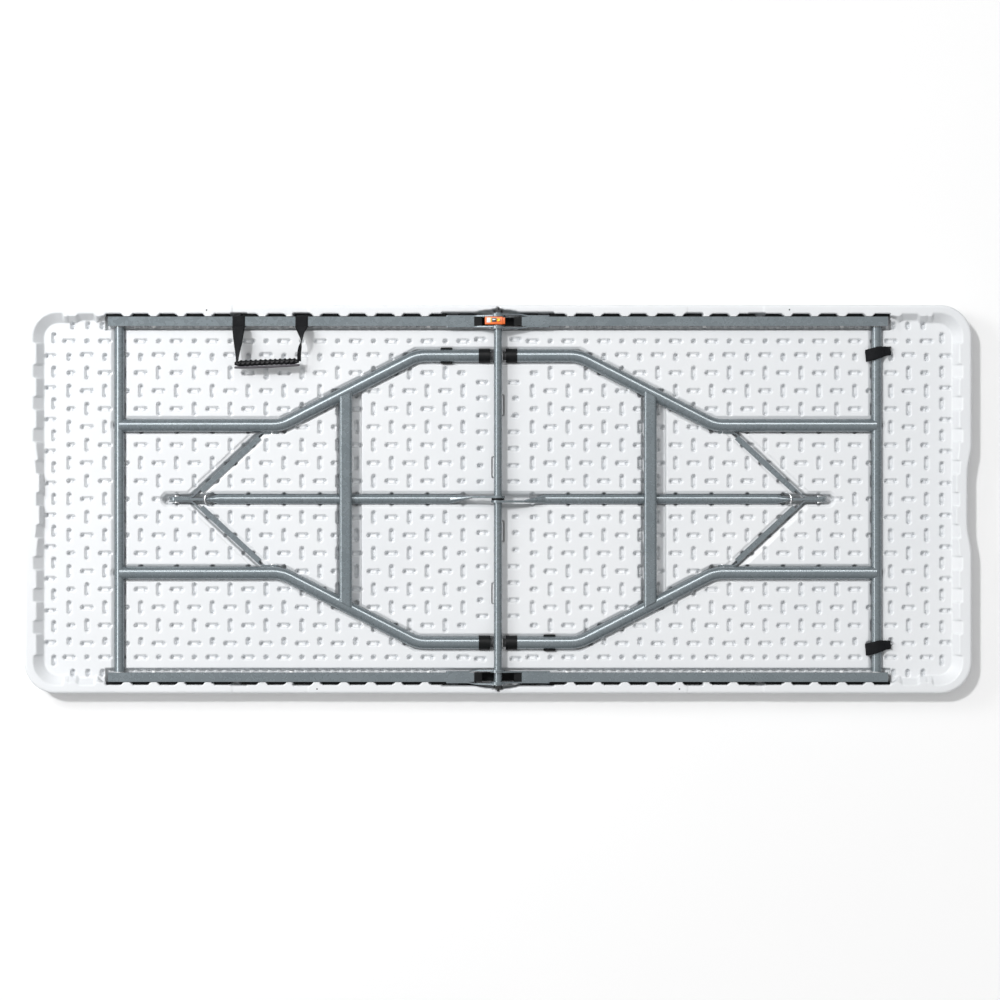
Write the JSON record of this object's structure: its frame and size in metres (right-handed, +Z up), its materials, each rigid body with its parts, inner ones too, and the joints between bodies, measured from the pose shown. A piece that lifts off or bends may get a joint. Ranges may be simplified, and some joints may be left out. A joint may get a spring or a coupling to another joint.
{
  "type": "folding table",
  "caption": "Long folding table with a moulded plastic top that folds in half, tubular steel legs with pinned braces, side rails and a carrying handle.",
  "frame": {"origin": "centre of the bounding box on the floor, which is the tabletop face, because the table lies face down", "axes": "+X along the table, +Y across it towards the side with the handle, +Z up out of the underside"},
  "size_m": [1.83, 0.75, 0.0595],
  "materials": {
    "panel_plastic": "moulded, fine pebble grain",
    "grey_steel": "satin powder coat",
    "black_plastic": "moulded",
    "orange_plastic": "moulded",
    "webbing": "woven tape",
    "zinc": "zinc plated",
    "glide": "scuffed",
    "nylon": "plain"
  },
  "bodies": {
    "left_half": {"left_panel": "panel_plastic", "left_rail_rear": "grey_steel", "left_rail_front": "grey_steel", "left_hinge_plates_rear": "grey_steel", "left_hinge_plates_front": "grey_steel", "left_hinge_block_rear": "black_plastic", "left_hinge_block_front": "black_plastic", "left_leg_clip": "black_plastic", "left_rail_screws": "zinc", "left_pivot_bushes": "nylon", "hinge_tube": "grey_steel", "hinge_nuts": "zinc", "brace_spacer": "black_plastic", "handle_loop_left": "webbing", "handle_loop_right": "webbing"},
    "right_half": {"right_panel": "panel_plastic", "right_rail_rear": "grey_steel", "right_rail_front": "grey_steel", "right_hinge_plates_rear": "grey_steel", "right_hinge_plates_front": "grey_steel", "right_hinge_block_rear": "black_plastic", "right_hinge_block_front": "black_plastic", "right_leg_clip": "black_plastic", "right_rail_screws": "zinc", "right_pivot_bushes": "nylon", "tie_strap_front": "webbing", "tie_strap_rear": "webbing"},
    "left_leg": {"left_cross_tube": "grey_steel", "left_leg_tube_rear": "grey_steel", "left_leg_tube_front": "grey_steel", "left_cross_bar": "grey_steel", "left_foot_cap_rear": "black_plastic", "left_foot_cap_front": "black_plastic", "left_foot_glides": "glide", "left_leg_rivets": "zinc"},
    "left_yoke": {"left_yoke_arm_rear": "grey_steel", "left_yoke_arm_front": "grey_steel", "left_yoke_pins": "zinc"},
    "left_brace": {"left_brace_tube": "grey_steel", "left_brace_pin": "zinc"},
    "left_ring": {"left_locking_ring": "zinc"},
    "right_leg": {"right_cross_tube": "grey_steel", "right_leg_tube_rear": "grey_steel", "right_leg_tube_front": "grey_steel", "right_cross_bar": "grey_steel", "right_foot_cap_rear": "black_plastic", "right_foot_cap_front": "black_plastic", "right_foot_glides": "glide", "right_leg_rivets": "zinc"},
    "right_yoke": {"right_yoke_arm_rear": "grey_steel", "right_yoke_arm_front": "grey_steel", "right_yoke_pins": "zinc"},
    "right_brace": {"right_brace_tube": "grey_steel", "right_brace_pin": "zinc"},
    "right_ring": {"right_locking_ring": "zinc"},
    "latch": {"safety_latch": "orange_plastic"},
    "handle": {"handle_grip": "black_plastic", "handle_web_left": "webbing", "handle_web_right": "webbing"}
  },
  "joints": [
    {"name": "table_fold", "type": "hinge", "parent": "left_half", "child": "right_half", "pos_m": [0, 0, 0.045], "axis": [0, 1, 0], "range_deg": [-180, 0]},
    {"name": "left_leg_fold", "type": "hinge", "parent": "left_half", "child": "left_leg", "pos_m": [-0.7323, 0, 0.027], "axis": [0, -1, 0], "range_deg": [0, 96.5]},
    {"name": "left_brace_swing", "type": "hinge", "parent": "left_half", "child": "left_brace", "pos_m": [0, 0, 0.045], "axis": [0, 1, 0], "range_deg": [0, 22.4]},
    {"name": "left_yoke_swing", "type": "hinge", "parent": "left_leg", "child": "left_yoke", "pos_m": [-0.436, 0, 0.0205], "axis": [0, -1, 0], "range_deg": [0, 63.5]},
    {"name": "left_ring_slide", "type": "slide", "parent": "left_brace", "child": "left_ring", "axis": [-1, 0, 0], "range_m": [0, 0.0101]},
    {"name": "right_leg_fold", "type": "hinge", "parent": "right_half", "child": "right_leg", "pos_m": [0.7323, 0, 0.027], "axis": [0, 1, 0], "range_deg": [0, 96.5]},
    {"name": "right_brace_swing", "type": "hinge", "parent": "right_half", "child": "right_brace", "pos_m": [0, 0, 0.045], "axis": [0, -1, 0], "range_deg": [0, 22.4]},
    {"name": "right_yoke_swing", "type": "hinge", "parent": "right_leg", "child": "right_yoke", "pos_m": [0.436, 0, 0.0205], "axis": [0, 1, 0], "range_deg": [0, 63.5]},
    {"name": "right_ring_slide", "type": "slide", "parent": "right_brace", "child": "right_ring", "axis": [1, 0, 0], "range_m": [0, 0.0101]},
    {"name": "latch_slide", "type": "slide", "parent": "left_half", "child": "latch", "axis": [-1, 0, 0], "range_m": [0, 0.008]},
    {"name": "handle_swing", "type": "hinge", "parent": "left_half", "child": "handle", "pos_m": [-0.44, 0.333, 0.0462], "axis": [-1, 0, 0], "range_deg": [0, 130]}
  ],
  "couplings": [
    {"joint": "left_brace_swing", "follows": "left_leg_fold", "ratio": 0.2311},
    {"joint": "left_yoke_swing", "follows": "left_leg_fold", "ratio": 0.657},
    {"joint": "left_ring_slide", "follows": "left_leg_fold", "m_per_rad": 0.006},
    {"joint": "right_brace_swing", "follows": "right_leg_fold", "ratio": 0.2311},
    {"joint": "right_yoke_swing", "follows": "right_leg_fold", "ratio": 0.657},
    {"joint": "right_ring_slide", "follows": "right_leg_fold", "m_per_rad": 0.006}
  ]
}
